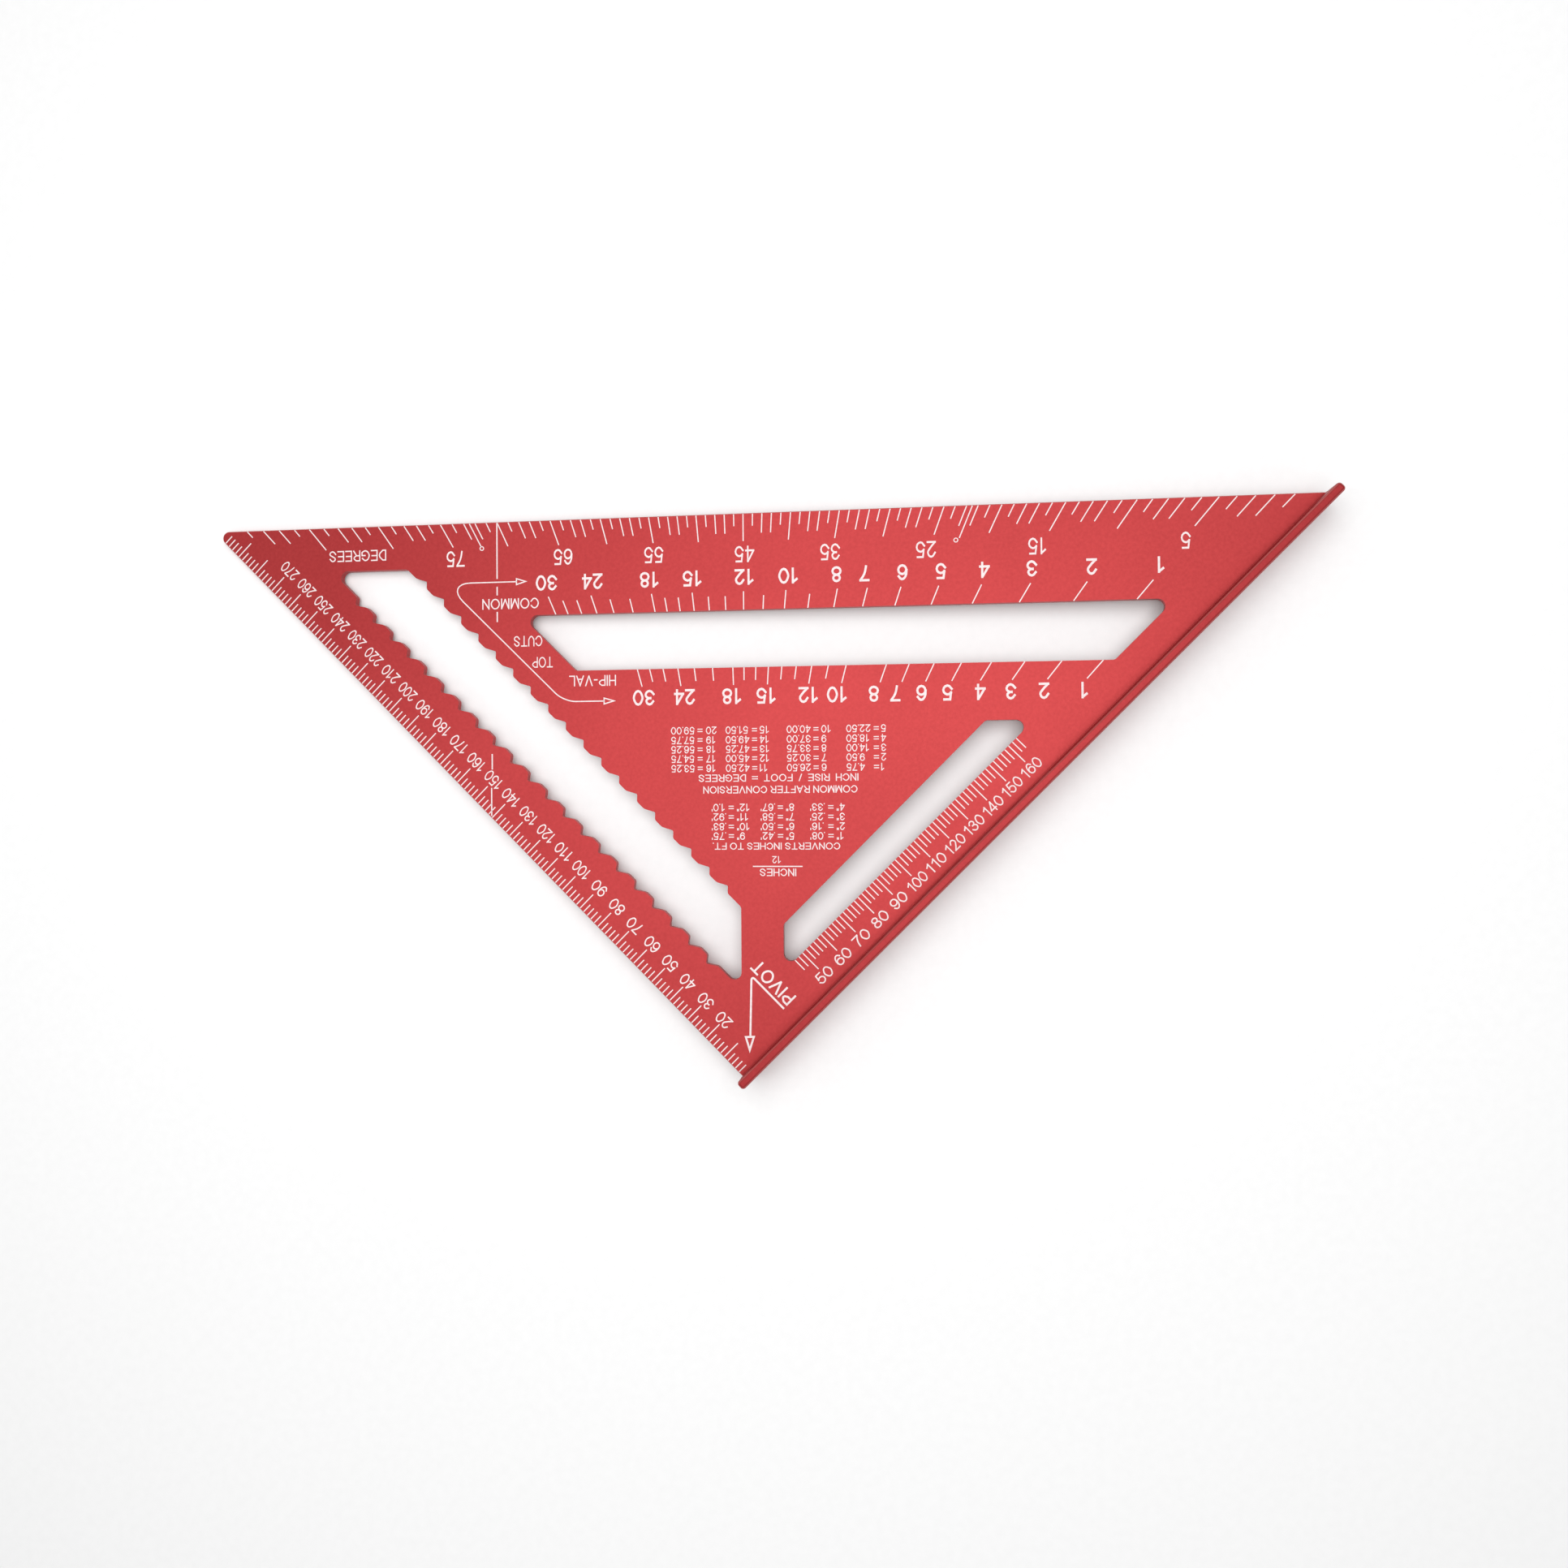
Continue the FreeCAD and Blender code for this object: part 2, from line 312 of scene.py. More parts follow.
def face_one_way():
    """Turns the faces of the mesh being drawn so that their normals agree."""
    bpy.ops.object.mode_set(mode="EDIT")
    bpy.ops.mesh.select_all(action="SELECT")
    bpy.ops.mesh.normals_make_consistent(inside=False)
    bpy.ops.object.mode_set(mode="OBJECT")


def draw(name, lines, width, rounded=None):
    """Draws lines of one width, one unit high. `rounded` gives corner numbers and their cut-backs."""
    bpy.ops.object.select_all(action="DESELECT")
    bpy.ops.curve.primitive_bezier_curve_add()
    mark = bpy.context.object
    mark.name = name
    mark.data.splines.clear()
    mark.data.resolution_u = CURVE_STEPS
    for level, line in enumerate(lines):
        curved = any(kind == ROUND for x, y, kind in line["points"])
        spline = mark.data.splines.new("BEZIER" if curved else "POLY")
        spline.use_cyclic_u = line["closed"]
        knots = spline.bezier_points if curved else spline.points
        knots.add(len(line["points"]) - 1)
        height = -level * STEP_DOWN
        for knot, (x, y, kind) in zip(knots, line["points"]):
            if curved:
                knot.co = (x, y, height)
                knot.handle_left_type = knot.handle_right_type = kind
            else:
                knot.co = (x, y, height, 1)
    bpy.ops.object.convert(target="MESH")
    if rounded:
        round_corners(mark, rounded)
    bpy.ops.object.mode_set(mode="EDIT")
    bpy.ops.mesh.select_all(action="SELECT")
    bpy.ops.mesh.extrude_region_move(TRANSFORM_OT_translate={"value": (0, 0, 1)})
    bpy.ops.object.mode_set(mode="OBJECT")
    face_one_way()
    thick = mark.modifiers.new("line_width", "SOLIDIFY")
    thick.thickness = width
    thick.offset = 0
    thick.use_even_offset = True
    bpy.ops.object.modifier_apply(modifier=thick.name)
    face_one_way()
    return mark


def round_corners(mark, rounded):
    """Rounds corners of a bare line, each cut back by its own length. Later corners go first."""
    for corner in sorted(rounded, reverse=True):
        bpy.ops.object.mode_set(mode="EDIT")
        bpy.ops.mesh.select_all(action="DESELECT")
        bpy.ops.mesh.select_mode(type="VERT")
        bpy.ops.object.mode_set(mode="OBJECT")
        mark.data.vertices[corner].select = True
        bpy.ops.object.mode_set(mode="EDIT")
        bpy.ops.mesh.bevel(offset=rounded[corner], affect="VERTICES", segments=CORNER_STEPS)
        bpy.ops.object.mode_set(mode="OBJECT")


print("steps between the points of a curve: %d, round a corner: %d" % (CURVE_STEPS, CORNER_STEPS))

# %% [markdown]
# ## Placing marks
# A mark is drawn once and copied to each of its places, and each copy has its own mesh. A copy is
# turned to its reading direction, stretched to its size, and sunk a little into the blade so that
# only a few hundredths of a millimetre stand proud. The copies of one scale are joined into one
# piece, whose place is then moved into its mesh. A pattern is deleted once its copies are made.

# %% Place marks
FILL_THICKNESS = 0.06 * MM
FILL_PROUD = 0.03 * MM
mark_count = 0


def place_copy(pattern, x, y, direction, length, height):
    """Copies a pattern to x, y in mm, turned to a direction and stretched along and across it."""
    mark = pattern.copy()
    mark.data = pattern.data.copy()
    bpy.context.collection.objects.link(mark)
    place = Vector((x * MM, y * MM, BLADE_TOP + FILL_PROUD - FILL_THICKNESS))
    stretch = Matrix.Diagonal((length, height, FILL_THICKNESS, 1))
    mark.matrix_world = Matrix.Translation(place) @ Matrix.Rotation(direction, 4, "Z") @ stretch
    return mark


def finish_marks(name, marks):
    """Joins marks into one white piece that rides with the blade."""
    global mark_count
    bpy.context.view_layer.update()
    bpy.ops.object.select_all(action="DESELECT")
    for mark in marks:
        mark.select_set(True)
    bpy.context.view_layer.objects.active = marks[0]
    if len(marks) > 1:
        bpy.ops.object.join()
    bpy.ops.object.transform_apply(location=True, rotation=True, scale=True)
    piece = bpy.context.object
    piece.name = name
    piece.data.name = name
    piece.data.materials.clear()
    piece.data.materials.append(white_fill)
    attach(piece, "root")
    mark_count += len(marks)
    print("%s: %d marks, %d faces" % (name, len(marks), len(piece.data.polygons)))


print("a mark is %.2f mm thick and stands %.2f mm proud" % (FILL_THICKNESS / MM, FILL_PROUD / MM))

# %% [markdown]
# ## Ticks
# A tick is a straight line of the scale's own width. One pattern, one unit long, serves every tick:
# each copy is stretched to the tick's length only, so all keep the same width.

# %% Tick pattern
TICK_WIDTH = 0.42
tick_pattern = draw("tick_pattern", [bar((0, 0), (1, 0))], TICK_WIDTH * MM)


def tick(start, end, width=TICK_WIDTH):
    """A tick from one place to another, in mm."""
    run = Vector(end) - Vector(start)
    direction = math.atan2(run.y, run.x)
    return place_copy(tick_pattern, *start, direction, run.length * MM, width / TICK_WIDTH)


print("tick pattern: %d faces" % len(tick_pattern.data.polygons))

# %% [markdown]
# ## The scale on the square edge
# The square edge is a ruler in millimetres from the pivot corner, with a tick every 2 mm and a long
# one every 10 mm. The ticks start where the edge's fine chamfer ends.

# %% Square edge ticks
LEG_SHORT_TICK = 4.1
LEG_LONG_TICK = 7.7


def leg_tick(distance):
    """A tick on the square edge."""
    reach = LEG_SHORT_TICK if distance % 10 else LEG_LONG_TICK
    return tick((EDGE_BREAK, distance), (reach, distance))


finish_marks("leg_scale_ticks", [leg_tick(distance) for distance in range(2, 300, 2)])

# %% [markdown]
# ## The scale beside the fence
# The window beside the fence has a second ruler on its lower side. Its ticks hang from the window's
# edge, so a pencil can be held against them while the fence slides along a board.

# %% Fence side ticks
LOW_WINDOW_EDGE = 16.8
FENCE_SHORT_TICK = 11.7
FENCE_LONG_TICK = 8.2


def fence_tick(distance):
    """A tick that hangs from the window beside the fence."""
    reach = FENCE_SHORT_TICK if distance % 10 else FENCE_LONG_TICK
    return tick((distance, LOW_WINDOW_EDGE), (distance, reach))


finish_marks("fence_scale_ticks", [fence_tick(distance) for distance in range(46, 166, 2)])

# %% [markdown]
# ## Rays from the pivot
# The degree scale and the two rafter scales are cut by rays from one point near the pivot corner,
# 4.8 mm along the fence and 2.4 mm up, which is a few millimetres from the corner itself.
# A ray leaves it at an angle from the fence, and is drawn only between two lines that run parallel
# to the 45 degree edge. A rafter scale's ray rises by its number over a run of 12 for a common
# rafter, and over a run of 17, the diagonal of 12 by 12, for a hip or valley rafter.

# %% Rays from the pivot
RAY_ACROSS = -1.7
RAY_OUT = 5.1


def ray_across(angle, out):
    """How far across the ray at an angle from the fence meets the line at a distance out."""
    return RAY_ACROSS + (out - RAY_OUT) * math.tan(angle - math.radians(45))


def on_ray(angle, out):
    """The place where that ray meets that line."""
    return turned(ray_across(angle, out), out)


def ray_tick(angle, outer, inner):
    """A tick along a ray."""
    return tick(on_ray(angle, outer), on_ray(angle, inner))


print("the 45 degree ray meets the edge at (%.1f, %.1f) mm" % on_ray(math.radians(45), MITRE_EDGE))

# %% [markdown]
# ## The degree scale
# Each degree has a tick from the 45 degree edge. Every fifth one is longest, and its neighbours
# step down, so that the scale can be read at a glance. The ticks get a little shorter towards the
# blade's tip. Two angles, 22.5 and 72.5 degrees, have a ray of their own that ends in a small ring.

# %% Degree ticks
DEGREE_TICK_ENDS = {0: 204.8, 1: 210.6, 2: 207.8, 3: 207.8, 4: 210.6}
SHORTER_TO_TIP = 0.011
RINGS = {22.5: (-82.5, 202.5), 72.5: (102.6, 205.3)}
RING_RADIUS = 0.75
RING_WIDTH = 0.35


def degree_tick(degree):
    """A tick on the degree scale, a little shorter the nearer it is to the blade's tip."""
    angle = math.radians(degree)
    shortening = SHORTER_TO_TIP * max(0.0, ray_across(angle, MITRE_EDGE))
    return ray_tick(angle, MITRE_EDGE, DEGREE_TICK_ENDS[degree % 5] + shortening)


tick_marks = [degree_tick(degree) for degree in range(1, 90)]
ring_line = ring((RING_RADIUS, 0), (0, RING_RADIUS), (-RING_RADIUS, 0), (0, -RING_RADIUS))
ring_pattern = draw("ring_pattern", [ring_line], RING_WIDTH)
for degree, (across, out) in RINGS.items():
    tick_marks.append(ray_tick(math.radians(degree), MITRE_EDGE, out + RING_RADIUS))
    tick_marks.append(place_copy(ring_pattern, *turned(across, out), ALONG_MITRE, MM, MM))
finish_marks("degree_ticks", tick_marks)

# %% [markdown]
# ## The rafter scales
# The common scale lies outside its window and the hip and valley scale inside it. A number has a
# long tick, and a short tick with no number stands between them where there is room.

# %% Rafter scale ticks
NUMBERED = (1, 2, 3, 4, 5, 6, 7, 8, 10, 12, 15, 18, 24, 30)
COMMON_RUN = 12
HIP_RUN = 17
COMMON_START, COMMON_LONG, COMMON_SHORT = 178.5, 185.5, 183.8
HIP_START, HIP_LONG, HIP_SHORT = 156.3, 149.6, 151.4
COMMON_BETWEEN = (9, 11, 13, 14, 16, 17, 20, 22, 26, 28)
HIP_BETWEEN = COMMON_BETWEEN[1:]


def rafter_ticks(run, start, long_end, short_end, between):
    """The ticks of one rafter scale."""
    ends = {rise: long_end for rise in NUMBERED}
    ends.update({rise: short_end for rise in between})
    return [ray_tick(math.atan2(rise, run), start, end) for rise, end in ends.items()]


finish_marks("common_ticks", rafter_ticks(COMMON_RUN, COMMON_START, COMMON_LONG, COMMON_SHORT,
                                          COMMON_BETWEEN))
finish_marks("hip_ticks", rafter_ticks(HIP_RUN, HIP_START, HIP_LONG, HIP_SHORT, HIP_BETWEEN))

# %% [markdown]
# ## Digits and letters
# The lettering is a plain upright engraver's hand with lines of one width. Each character is a few
# lines in a box that is one unit tall, with its feet at 0 and its head at 1. Round parts are a few
# points that the curve joins smoothly. A character is drawn once for each line width it is used in.

# %% Digits
DIGITS = {
    "0": (0.56, [ring((0.28, 1), (0, 0.67), (0, 0.33), (0.28, 0), (0.56, 0.33), (0.56, 0.67))]),
    "1": (0.30, [bar((0.30, 0), (0.30, 1)), bar((0.03, 0.76), (0.26, 0.95))]),
    "2": (0.56, [sweep((0.02, 0.72), (0.28, 1), (0.53, 0.73), (0.40, 0.45), (0.04, 0.04)),
                 bar((0, 0), (0.56, 0))]),
    "3": (0.56, [sweep((0.03, 0.77), (0.27, 1), (0.51, 0.77), (0.38, 0.57), (0.22, 0.54)),
                 sweep((0.22, 0.54), (0.44, 0.49), (0.56, 0.27), (0.28, 0), (0, 0.25))]),
    "4": (0.58, [bar((0.44, 0), (0.44, 1)), bar((0.40, 0.96), (0.02, 0.29)), bar((0, 0.26), (0.58, 0.26))]),
    "5": (0.56, [bar((0.50, 1), (0.10, 1), (0.04, 0.50)),
                 sweep((0.05, 0.51), (0.29, 0.64), (0.56, 0.33), (0.28, 0), (0, 0.25))]),
    "6": (0.56, [ring((0.29, 0.63), (0.01, 0.32), (0.28, 0), (0.56, 0.32)),
                 sweep((0.52, 0.78), (0.31, 1), (0.06, 0.78), (0, 0.34))]),
    "7": (0.55, [bar((0, 1), (0.55, 1)), sweep((0.54, 0.96), (0.28, 0.52), (0.17, 0))]),
    "8": (0.56, [ring((0.28, 1), (0.05, 0.77), (0.28, 0.54), (0.51, 0.77)),
                 ring((0.28, 0.54), (0, 0.27), (0.28, 0), (0.56, 0.27))]),
    "9": (0.56, [ring((0.27, 0.37), (0.55, 0.68), (0.28, 1), (0, 0.68)),
                 sweep((0.04, 0.22), (0.25, 0), (0.50, 0.22), (0.56, 0.66))]),
}
print("digits:", "".join(DIGITS))

# %% Letters
LETTERS = {
    "A": (0.66, [bar((0, 0), (0.33, 1)), bar((0.33, 1), (0.66, 0)), bar((0.14, 0.33), (0.52, 0.33))]),
    "C": (0.66, [sweep((0.64, 0.74), (0.36, 1), (0.04, 0.72), (0.04, 0.28), (0.36, 0), (0.66, 0.30))]),
    "D": (0.62, [bar((0, 0), (0, 1)), sweep((0, 1, SHARP), (0.28, 1, SHARP), (0.62, 0.5), (0.28, 0, SHARP),
                                            (0, 0, SHARP))]),
    "E": (0.56, [bar((0.55, 1), (0, 1), (0, 0), (0.56, 0)), bar((0, 0.52), (0.50, 0.52))]),
    "F": (0.52, [bar((0.52, 1), (0, 1), (0, 0)), bar((0, 0.5), (0.45, 0.5))]),
    "G": (0.70, [sweep((0.66, 0.76), (0.37, 1), (0.04, 0.72), (0.04, 0.28), (0.38, 0), (0.70, 0.16, SHARP),
                       (0.70, 0.48, SHARP), (0.40, 0.48, SHARP))]),
    "H": (0.58, [bar((0, 0), (0, 1)), bar((0.58, 0), (0.58, 1)), bar((0, 0.52), (0.58, 0.52))]),
    "I": (0.0, [bar((0, 0), (0, 1))]),
    "L": (0.48, [bar((0, 1), (0, 0), (0.48, 0))]),
    "M": (0.68, [bar((0, 0), (0, 1)), bar((0.68, 0), (0.68, 1)), bar((0.02, 0.96), (0.34, 0.04)),
                 bar((0.66, 0.96), (0.34, 0.04))]),
    "N": (0.58, [bar((0, 0), (0, 1)), bar((0.58, 0), (0.58, 1)), bar((0.02, 0.96), (0.56, 0.04))]),
    "O": (0.74, [ring((0.37, 1), (0.04, 0.72), (0.04, 0.28), (0.37, 0), (0.70, 0.28), (0.70, 0.72))]),
    "P": (0.56, [bar((0, 0), (0, 1)), sweep((0, 1, SHARP), (0.32, 1, SHARP), (0.56, 0.73),
                                            (0.32, 0.46, SHARP), (0, 0.46, SHARP))]),
    "R": (0.60, [bar((0, 0), (0, 1)), sweep((0, 1, SHARP), (0.34, 1, SHARP), (0.57, 0.74),
                                            (0.34, 0.48, SHARP), (0, 0.48, SHARP)),
                 bar((0.34, 0.44), (0.60, 0))]),
    "S": (0.57, [sweep((0.54, 0.76), (0.28, 1), (0.04, 0.76), (0.28, 0.52), (0.57, 0.26), (0.29, 0),
                       (0, 0.28))]),
    "T": (0.60, [bar((0, 1), (0.60, 1)), bar((0.30, 0.95), (0.30, 0))]),
    "U": (0.58, [sweep((0, 1, SHARP), (0, 0.34, SHARP), (0.29, 0), (0.58, 0.34, SHARP), (0.58, 1, SHARP))]),
    "V": (0.64, [bar((0, 1), (0.31, 0.02)), bar((0.64, 1), (0.33, 0.02))]),
}
SIGNS = {
    ".": (0.0, [bar((0, 0), (0, 0.02))]),
    "'": (0.0, [bar((0, 0.8), (0, 1))]),
    '"': (0.16, [bar((0, 0.8), (0, 1)), bar((0.16, 0.8), (0.16, 1))]),
    "=": (0.60, [bar((0, 0.66), (0.60, 0.66)), bar((0, 0.30), (0.60, 0.30))]),
    "-": (0.26, [bar((0, 0.42), (0.26, 0.42))]),
    "/": (0.28, [bar((0, 0), (0.28, 1))]),
}
CHARACTERS = {**DIGITS, **LETTERS, **SIGNS}
print("characters:", len(CHARACTERS))

# %% [markdown]
# ## Setting a word
# A line's ends are carried on by half its width, as an engraver's round cutter would leave them, so
# a character's ink fills its box. Characters are set side by side with an even gap, a little more
# after a 1 and less before a 4. A word is centred on its place, or starts or ends there, and is
# stretched to the length it is given.

# %% Set a word
GAP = 0.12
SPACE = 0.42
GAP_AFTER = {"1": 0.09}
GAP_BEFORE = {"4": -0.06}
patterns = {}


def inked(line, weight):
    """Fits a line into the box of its ink, with its ends carried on by half the line's width."""
    points = [Vector((weight / 2 + x, weight / 2 + y * (1 - weight))) for x, y, kind in line["points"]]
    if not line["closed"]:
        start_run = (points[0] - points[1]).normalized() * weight / 2
        end_run = (points[-1] - points[-2]).normalized() * weight / 2
        points[0] += start_run
        points[-1] += end_run
    kinds = [kind for x, y, kind in line["points"]]
    return {"points": [(*point, kind) for point, kind in zip(points, kinds)], "closed": line["closed"]}


def character_pattern(character, weight):
    """The pattern of one character, drawn the first time it is asked for."""
    if (character, weight) not in patterns:
        lines = [inked(line, weight) for line in CHARACTERS[character][1]]
        patterns[character, weight] = draw("pattern", lines, weight)
    return patterns[character, weight]


print("gap between characters: %.2f of their height" % GAP)

# %% Set a word in place


def layout(text, weight):
    """Where each character starts, and how long the word is, for a height of one."""
    starts, end = [], 0.0
    for character in text:
        if character == " ":
            end += SPACE - GAP
            continue
        start = end + GAP_BEFORE.get(character, 0.0) if starts else 0.0
        starts.append((character, start))
        ink_end = start + CHARACTERS[character][0] + weight
        end = ink_end + GAP + GAP_AFTER.get(character, 0.0)
    return starts, ink_end


def word(text, place, direction, height, weight, length=None, squeeze=1.0, anchor=0.5):
    """Sets a word by the middle of its height. `anchor` is 0 for its start, 1 for its end."""
    starts, natural = layout(text, weight)
    stretch = length / natural if length else height * squeeze
    reading = Vector((math.cos(direction), math.sin(direction)))
    upward = Vector((-reading.y, reading.x))
    origin = Vector(place) - reading * natural * stretch * anchor - upward * height / 2
    marks = []
    for character, start in starts:
        x, y = origin + reading * start * stretch
        pattern = character_pattern(character, weight)
        marks.append(place_copy(pattern, x, y, direction, stretch * MM, height * MM))
    return marks


SAMPLE, SAMPLE_WEIGHT = "DEGREES", 0.1
print("%s is %.2f times as long as it is tall" % (SAMPLE, layout(SAMPLE, SAMPLE_WEIGHT)[1]))

# %% [markdown]
# ## Numbers on the two rulers
# The ruler on the square edge is read with the fence to the left, and the one beside the fence is
# read with the fence at the bottom. Three digits are set narrower than two, so that they still fit
# between the long ticks. On the square edge the first numbers stand a little nearer the edge.

# %% Ruler numbers
LEG_NUMBER_X = 11.2
LEG_NUMBER_X_AT_PIVOT = 9.7
LEG_NUMBERS_EVEN_FROM = 90
LEG_NUMBER_HEIGHT = 4.7
LEG_NUMBER_LENGTHS = {2: 6.1, 3: 7.65}
FENCE_NUMBER_Y = 5.1
FENCE_NUMBER_HEIGHT = 4.35
FENCE_NUMBER_LENGTHS = {2: 7.0, 3: 8.5}
RULER_WEIGHT = 0.115

leg_marks = []
for distance in range(20, 280, 10):
    text = str(distance)
    share = min(1.0, distance / LEG_NUMBERS_EVEN_FROM)
    x = LEG_NUMBER_X_AT_PIVOT + (LEG_NUMBER_X - LEG_NUMBER_X_AT_PIVOT) * share
    leg_marks += word(text, (x, distance), ALONG_LEG, LEG_NUMBER_HEIGHT, RULER_WEIGHT,
                      length=LEG_NUMBER_LENGTHS[len(text)])
finish_marks("leg_scale_numbers", leg_marks)

fence_marks = []
for distance in range(50, 170, 10):
    text = str(distance)
    fence_marks += word(text, (distance, FENCE_NUMBER_Y), ALONG_FENCE, FENCE_NUMBER_HEIGHT, RULER_WEIGHT,
                        length=FENCE_NUMBER_LENGTHS[len(text)])
finish_marks("fence_scale_numbers", fence_marks)

# %% [markdown]
# ## Numbers on the degree scale
# Every tenth degree, counted from 5, has its number inside the ticks, set narrow. The numbers stand
# a little nearer the edge towards the top of the blade. The word for the scale is in a lighter
# line at the upper end.

# %% Degree numbers
DEGREE_NUMBERS = {
    5: (-166.0, 199.7), 15: (-112.5, 199.3), 25: (-71.3, 199.3), 35: (-35.1, 199.6),
    45: (-2.2, 199.8), 55: (33.4, 200.6), 65: (69.6, 201.0), 75: (113.4, 201.5),
}
DEGREE_NUMBER_HEIGHT = 6.3
DEGREE_WEIGHT = 0.115
DEGREE_SQUEEZE = 0.81
DEGREES_PLACE = turned(154.2, 204.0)
DEGREES_HEIGHT = 4.4
DEGREES_LENGTH = 23.9
LABEL_WEIGHT = 0.11

number_marks = []
for degree, (across, out) in DEGREE_NUMBERS.items():
    number_marks += word(str(degree), turned(across, out), ALONG_MITRE, DEGREE_NUMBER_HEIGHT,
                         DEGREE_WEIGHT, squeeze=DEGREE_SQUEEZE)
finish_marks("degree_numbers", number_marks)
finish_marks("degree_label", word("DEGREES", DEGREES_PLACE, ALONG_MITRE, DEGREES_HEIGHT, LABEL_WEIGHT,
                                  length=DEGREES_LENGTH))

# %% [markdown]
# ## Numbers on the rafter scales
# These are the boldest numbers on the tool. Each stands beyond the end of its long tick.

# %% Rafter scale numbers
COMMON_ACROSS = (-157.2, -132.2, -110.4, -93.0, -76.8, -62.4, -48.1, -37.5, -19.1, -2.0, 18.3, 35.2,
                 57.9, 76.3)
HIP_ACROSS = (-129.3, -114.5, -102.3, -91.1, -78.9, -69.2, -59.4, -51.3, -37.4, -26.4, -10.2, 3.1,
              21.6, 37.6)
COMMON_OUT = 191.0
HIP_OUT = 145.3
RAFTER_NUMBER_HEIGHT = 6.1
RAFTER_WEIGHT = 0.145
RAFTER_SQUEEZE = 0.9


def rafter_numbers(places, out):
    """The numbers of one rafter scale."""
    marks = []
    for rise, across in zip(NUMBERED, places):
        marks += word(str(rise), turned(across, out), ALONG_MITRE, RAFTER_NUMBER_HEIGHT, RAFTER_WEIGHT,
                      squeeze=RAFTER_SQUEEZE)
    return marks


finish_marks("common_numbers", rafter_numbers(COMMON_ACROSS, COMMON_OUT))
finish_marks("hip_numbers", rafter_numbers(HIP_ACROSS, HIP_OUT))

# %% [markdown]
# ## The names of the two rafter scales
# Four words beside the window name the scales, and a bent line with an arrow head at each end goes
# round them from one scale to the other. The line is drawn with square corners, and each corner is
# then bevelled round.

# %% Scale names
LABEL_HEIGHT = 4.2
NAMES = {"HIP-VAL": (58.0, 152.3, 18.75), "TOP": (78.1, 159.9, 8.3), "CUTS": (83.9, 168.3, 11.5),
         "COMMON": (91.0, 183.2, 23.0)}

name_marks = []
for text, (across, out, length) in NAMES.items():
    name_marks += word(text, turned(across, out), ALONG_MITRE, LABEL_HEIGHT, LABEL_WEIGHT, length=length)
finish_marks("scale_names", name_marks)

# %% The bent line
BRACKET_WIDTH = 0.45
INNER_TIP, INNER_BASE = 49.5, 53.4
OUTER_TIP, OUTER_BASE = 84.8, 88.5
HEAD_HALF_WIDTH = 1.15
INNER_LINE, OUTER_LINE = 144.3, 191.8
LOW_CORNER, HIGH_CORNER = 69.5, 117.8
CORNER_CUT_BACKS = {1: 4.75, 2: 10.5}

bracket_line = bar(turned(INNER_BASE, INNER_LINE), turned(LOW_CORNER, INNER_LINE),
                   turned(HIGH_CORNER, OUTER_LINE), turned(OUTER_BASE, OUTER_LINE))
bracket_pattern = draw("bracket_pattern", [bracket_line], BRACKET_WIDTH, rounded=CORNER_CUT_BACKS)
bracket_marks = [place_copy(bracket_pattern, 0, 0, ALONG_FENCE, MM, MM)]
for tip, base, line in ((INNER_TIP, INNER_BASE, INNER_LINE), (OUTER_TIP, OUTER_BASE, OUTER_LINE)):
    head = polygon(turned(tip, line), turned(base, line - HEAD_HALF_WIDTH),
                   turned(base, line + HEAD_HALF_WIDTH))
    head_pattern = draw("head_pattern", [head], BRACKET_WIDTH)
    bracket_marks.append(place_copy(head_pattern, 0, 0, ALONG_FENCE, MM, MM))
    bpy.data.objects.remove(head_pattern)
bpy.data.objects.remove(bracket_pattern)
finish_marks("cuts_bracket", bracket_marks)

# %% [markdown]
# ## The square line
# One line runs square to the 45 degree edge, right across the tool. It stops short of the words and
# windows that are in its way, so it is drawn as separate runs.

# %% The square line
SQUARE_LINE_RUNS = (
    (96.4, MITRE_EDGE, 193.1), (96.4, 190.0, 186.6), (96.4, 180.1, 176.1),
    (98.7, 124.2, 118.1), (99.0, 110.9, 99.9),
)
LINE_WIDTH = 0.5
finish_marks("square_line", [
    tick(turned(across, outer), turned(across, inner), LINE_WIDTH)
    for across, outer, inner in SQUARE_LINE_RUNS])

# %% [markdown]
# ## The tables
# The middle of the blade carries two small tables in a fine light hand. The upper one turns inches
# into feet and the lower one turns the rise of a roof, in inches per foot, into degrees. Both are
# set in columns: the first number ends at one edge of its column and the result at the other. The
# headings give the place across and out, the length and the height of each one.

# %% Table settings
TABLE_HEIGHT = 2.9
TABLE_WEIGHT = 0.125


def table_rows(results, number_form, rows, columns, squeeze):
    """Sets each number, counted from 1 down the columns, with an equals sign and its result."""
    marks = []
    for index, result in enumerate(results):
        column, row = divmod(index, len(rows))
        number_end, equals_start, result_end = columns[column]
        for text, across, anchor in ((number_form % (index + 1), number_end, 1),
                                     ("=", equals_start, 0), (result, result_end, 1)):
            marks += word(text, turned(across, rows[row]), ALONG_MITRE, TABLE_HEIGHT, TABLE_WEIGHT,
                          squeeze=squeeze, anchor=anchor)
    return marks


def headings(places):
    """The headings over a table."""
    marks = []
    for text, (across, out, length, height) in places.items():
        marks += word(text, turned(across, out), ALONG_MITRE, height, TABLE_WEIGHT, length=length)
    return marks


print("table characters are %.1f mm tall" % TABLE_HEIGHT)

